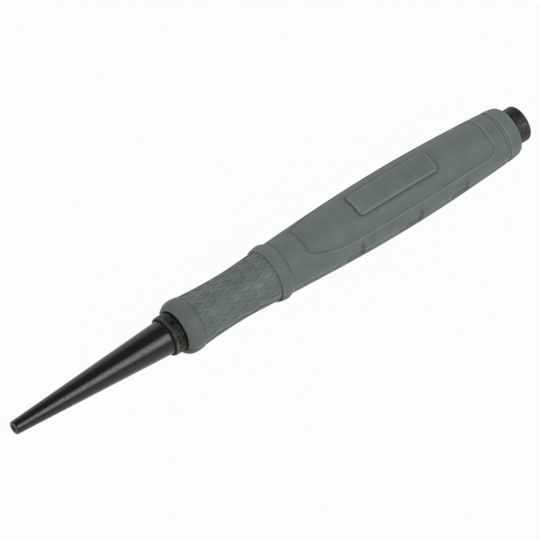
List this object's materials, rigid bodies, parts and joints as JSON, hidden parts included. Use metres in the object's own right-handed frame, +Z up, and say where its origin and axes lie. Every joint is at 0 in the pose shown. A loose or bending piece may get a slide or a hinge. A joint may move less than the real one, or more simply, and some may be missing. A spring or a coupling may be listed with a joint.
{
  "type": "nail set",
  "caption": "Nail set: a tapered, cup-tipped black steel punch with a struck head, in a moulded grey grip with a diamond-patterned neck, recessed panels, thumb notches and a bare plate.",
  "frame": {"origin": "on the bench, below the middle of the tool's length, with the tool lying on its lower panel", "axes": "+X along the tool from the tip to the struck head, +Z up through the plate, +Y to the side"},
  "size_m": [0.1454, 0.015, 0.015],
  "materials": {
    "black_steel": "black oxide, ground taper, rough collar and head",
    "grip_rubber": "matt moulded, fine eroded texture",
    "core_plastic": "matt moulded"
  },
  "bodies": {
    "root": {"punch": "black_steel", "grip_core": "core_plastic", "neck_grip": "grip_rubber", "handle_body": "grip_rubber", "end_cap": "core_plastic", "name_plate": "grip_rubber"}
  },
  "joints": []
}
